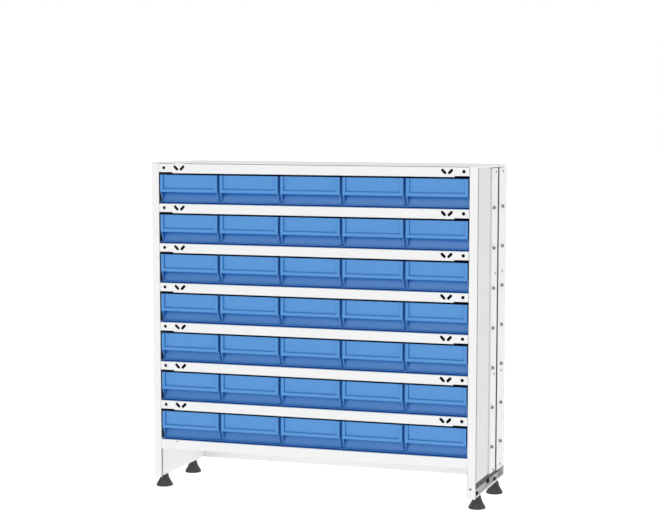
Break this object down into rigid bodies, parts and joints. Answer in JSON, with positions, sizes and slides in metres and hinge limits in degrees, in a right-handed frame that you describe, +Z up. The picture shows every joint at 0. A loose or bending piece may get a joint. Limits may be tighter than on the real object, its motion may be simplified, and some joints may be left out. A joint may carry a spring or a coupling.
{
  "type": "storage bin rack",
  "caption": "Free-standing white sheet-steel rack with closed sides and back on levelling feet, its shelves filled with pull-out blue plastic bins that have label lips and finger grips.",
  "frame": {"origin": "on the floor, under the middle of the rack's width and depth", "axes": "+Z up, front of the rack faces -Y (bins pull out along -Y), +X to the right seen from the front"},
  "size_m": [0.9996, 0.335, 0.9511],
  "materials": {
    "white_paint": "satin white powder coat",
    "grey_paint": "satin pale grey powder coat",
    "bin_plastic": "semi-matt moulded blue polypropylene",
    "foot_plastic": "matt dark moulded plastic"
  },
  "bodies": {
    "rack": {"top_cover": "white_paint", "shelf_1": "white_paint", "shelf_2": "white_paint", "shelf_3": "white_paint", "shelf_4": "white_paint", "shelf_5": "white_paint", "shelf_6": "white_paint", "bottom_shelf": "white_paint", "back_panel": "white_paint", "left_front_post": "white_paint", "left_side_panel": "grey_paint", "left_middle_post": "white_paint", "left_rear_post": "white_paint", "left_base_rail": "white_paint", "right_front_post": "white_paint", "right_side_panel": "grey_paint", "right_middle_post": "white_paint", "right_rear_post": "white_paint", "right_base_rail": "white_paint"},
    "bin_row1_col1": {"bin_row1_col1": "bin_plastic"},
    "bin_row1_col2": {"bin_row1_col2": "bin_plastic"},
    "bin_row1_col3": {"bin_row1_col3": "bin_plastic"},
    "bin_row1_col4": {"bin_row1_col4": "bin_plastic"},
    "bin_row1_col5": {"bin_row1_col5": "bin_plastic"},
    "bin_row2_col1": {"bin_row2_col1": "bin_plastic"},
    "bin_row2_col2": {"bin_row2_col2": "bin_plastic"},
    "bin_row2_col3": {"bin_row2_col3": "bin_plastic"},
    "bin_row2_col4": {"bin_row2_col4": "bin_plastic"},
    "bin_row2_col5": {"bin_row2_col5": "bin_plastic"},
    "bin_row3_col1": {"bin_row3_col1": "bin_plastic"},
    "bin_row3_col2": {"bin_row3_col2": "bin_plastic"},
    "bin_row3_col3": {"bin_row3_col3": "bin_plastic"},
    "bin_row3_col4": {"bin_row3_col4": "bin_plastic"},
    "bin_row3_col5": {"bin_row3_col5": "bin_plastic"},
    "bin_row4_col1": {"bin_row4_col1": "bin_plastic"},
    "bin_row4_col2": {"bin_row4_col2": "bin_plastic"},
    "bin_row4_col3": {"bin_row4_col3": "bin_plastic"},
    "bin_row4_col4": {"bin_row4_col4": "bin_plastic"},
    "bin_row4_col5": {"bin_row4_col5": "bin_plastic"},
    "bin_row5_col1": {"bin_row5_col1": "bin_plastic"},
    "bin_row5_col2": {"bin_row5_col2": "bin_plastic"},
    "bin_row5_col3": {"bin_row5_col3": "bin_plastic"},
    "bin_row5_col4": {"bin_row5_col4": "bin_plastic"},
    "bin_row5_col5": {"bin_row5_col5": "bin_plastic"},
    "bin_row6_col1": {"bin_row6_col1": "bin_plastic"},
    "bin_row6_col2": {"bin_row6_col2": "bin_plastic"},
    "bin_row6_col3": {"bin_row6_col3": "bin_plastic"},
    "bin_row6_col4": {"bin_row6_col4": "bin_plastic"},
    "bin_row6_col5": {"bin_row6_col5": "bin_plastic"},
    "bin_row7_col1": {"bin_row7_col1": "bin_plastic"},
    "bin_row7_col2": {"bin_row7_col2": "bin_plastic"},
    "bin_row7_col3": {"bin_row7_col3": "bin_plastic"},
    "bin_row7_col4": {"bin_row7_col4": "bin_plastic"},
    "bin_row7_col5": {"bin_row7_col5": "bin_plastic"},
    "front_left_foot": {"front_left_foot": "foot_plastic"},
    "rear_left_foot": {"rear_left_foot": "foot_plastic"},
    "front_right_foot": {"front_right_foot": "foot_plastic"},
    "rear_right_foot": {"rear_right_foot": "foot_plastic"}
  },
  "joints": [
    {"name": "bin_row1_col1_slide", "type": "slide", "parent": "rack", "child": "bin_row1_col1", "axis": [0, -1, 0], "range_m": [0, 0.31]},
    {"name": "bin_row1_col2_slide", "type": "slide", "parent": "rack", "child": "bin_row1_col2", "axis": [0, -1, 0], "range_m": [0, 0.31]},
    {"name": "bin_row1_col3_slide", "type": "slide", "parent": "rack", "child": "bin_row1_col3", "axis": [0, -1, 0], "range_m": [0, 0.31]},
    {"name": "bin_row1_col4_slide", "type": "slide", "parent": "rack", "child": "bin_row1_col4", "axis": [0, -1, 0], "range_m": [0, 0.31]},
    {"name": "bin_row1_col5_slide", "type": "slide", "parent": "rack", "child": "bin_row1_col5", "axis": [0, -1, 0], "range_m": [0, 0.31]},
    {"name": "bin_row2_col1_slide", "type": "slide", "parent": "rack", "child": "bin_row2_col1", "axis": [0, -1, 0], "range_m": [0, 0.31]},
    {"name": "bin_row2_col2_slide", "type": "slide", "parent": "rack", "child": "bin_row2_col2", "axis": [0, -1, 0], "range_m": [0, 0.31]},
    {"name": "bin_row2_col3_slide", "type": "slide", "parent": "rack", "child": "bin_row2_col3", "axis": [0, -1, 0], "range_m": [0, 0.31]},
    {"name": "bin_row2_col4_slide", "type": "slide", "parent": "rack", "child": "bin_row2_col4", "axis": [0, -1, 0], "range_m": [0, 0.31]},
    {"name": "bin_row2_col5_slide", "type": "slide", "parent": "rack", "child": "bin_row2_col5", "axis": [0, -1, 0], "range_m": [0, 0.31]},
    {"name": "bin_row3_col1_slide", "type": "slide", "parent": "rack", "child": "bin_row3_col1", "axis": [0, -1, 0], "range_m": [0, 0.31]},
    {"name": "bin_row3_col2_slide", "type": "slide", "parent": "rack", "child": "bin_row3_col2", "axis": [0, -1, 0], "range_m": [0, 0.31]},
    {"name": "bin_row3_col3_slide", "type": "slide", "parent": "rack", "child": "bin_row3_col3", "axis": [0, -1, 0], "range_m": [0, 0.31]},
    {"name": "bin_row3_col4_slide", "type": "slide", "parent": "rack", "child": "bin_row3_col4", "axis": [0, -1, 0], "range_m": [0, 0.31]},
    {"name": "bin_row3_col5_slide", "type": "slide", "parent": "rack", "child": "bin_row3_col5", "axis": [0, -1, 0], "range_m": [0, 0.31]},
    {"name": "bin_row4_col1_slide", "type": "slide", "parent": "rack", "child": "bin_row4_col1", "axis": [0, -1, 0], "range_m": [0, 0.31]},
    {"name": "bin_row4_col2_slide", "type": "slide", "parent": "rack", "child": "bin_row4_col2", "axis": [0, -1, 0], "range_m": [0, 0.31]},
    {"name": "bin_row4_col3_slide", "type": "slide", "parent": "rack", "child": "bin_row4_col3", "axis": [0, -1, 0], "range_m": [0, 0.31]},
    {"name": "bin_row4_col4_slide", "type": "slide", "parent": "rack", "child": "bin_row4_col4", "axis": [0, -1, 0], "range_m": [0, 0.31]},
    {"name": "bin_row4_col5_slide", "type": "slide", "parent": "rack", "child": "bin_row4_col5", "axis": [0, -1, 0], "range_m": [0, 0.31]},
    {"name": "bin_row5_col1_slide", "type": "slide", "parent": "rack", "child": "bin_row5_col1", "axis": [0, -1, 0], "range_m": [0, 0.31]},
    {"name": "bin_row5_col2_slide", "type": "slide", "parent": "rack", "child": "bin_row5_col2", "axis": [0, -1, 0], "range_m": [0, 0.31]},
    {"name": "bin_row5_col3_slide", "type": "slide", "parent": "rack", "child": "bin_row5_col3", "axis": [0, -1, 0], "range_m": [0, 0.31]},
    {"name": "bin_row5_col4_slide", "type": "slide", "parent": "rack", "child": "bin_row5_col4", "axis": [0, -1, 0], "range_m": [0, 0.31]},
    {"name": "bin_row5_col5_slide", "type": "slide", "parent": "rack", "child": "bin_row5_col5", "axis": [0, -1, 0], "range_m": [0, 0.31]},
    {"name": "bin_row6_col1_slide", "type": "slide", "parent": "rack", "child": "bin_row6_col1", "axis": [0, -1, 0], "range_m": [0, 0.31]},
    {"name": "bin_row6_col2_slide", "type": "slide", "parent": "rack", "child": "bin_row6_col2", "axis": [0, -1, 0], "range_m": [0, 0.31]},
    {"name": "bin_row6_col3_slide", "type": "slide", "parent": "rack", "child": "bin_row6_col3", "axis": [0, -1, 0], "range_m": [0, 0.31]},
    {"name": "bin_row6_col4_slide", "type": "slide", "parent": "rack", "child": "bin_row6_col4", "axis": [0, -1, 0], "range_m": [0, 0.31]},
    {"name": "bin_row6_col5_slide", "type": "slide", "parent": "rack", "child": "bin_row6_col5", "axis": [0, -1, 0], "range_m": [0, 0.31]},
    {"name": "bin_row7_col1_slide", "type": "slide", "parent": "rack", "child": "bin_row7_col1", "axis": [0, -1, 0], "range_m": [0, 0.31]},
    {"name": "bin_row7_col2_slide", "type": "slide", "parent": "rack", "child": "bin_row7_col2", "axis": [0, -1, 0], "range_m": [0, 0.31]},
    {"name": "bin_row7_col3_slide", "type": "slide", "parent": "rack", "child": "bin_row7_col3", "axis": [0, -1, 0], "range_m": [0, 0.31]},
    {"name": "bin_row7_col4_slide", "type": "slide", "parent": "rack", "child": "bin_row7_col4", "axis": [0, -1, 0], "range_m": [0, 0.31]},
    {"name": "bin_row7_col5_slide", "type": "slide", "parent": "rack", "child": "bin_row7_col5", "axis": [0, -1, 0], "range_m": [0, 0.31]},
    {"name": "front_left_foot_turn", "type": "hinge", "parent": "rack", "child": "front_left_foot", "pos_m": [-0.4753, -0.1157, 0], "axis": [0, 0, 1], "continuous": true},
    {"name": "rear_left_foot_turn", "type": "hinge", "parent": "rack", "child": "rear_left_foot", "pos_m": [-0.4753, 0.0853, 0], "axis": [0, 0, 1], "continuous": true},
    {"name": "front_right_foot_turn", "type": "hinge", "parent": "rack", "child": "front_right_foot", "pos_m": [0.4753, -0.1157, 0], "axis": [0, 0, 1], "continuous": true},
    {"name": "rear_right_foot_turn", "type": "hinge", "parent": "rack", "child": "rear_right_foot", "pos_m": [0.4753, 0.0853, 0], "axis": [0, 0, 1], "continuous": true}
  ]
}
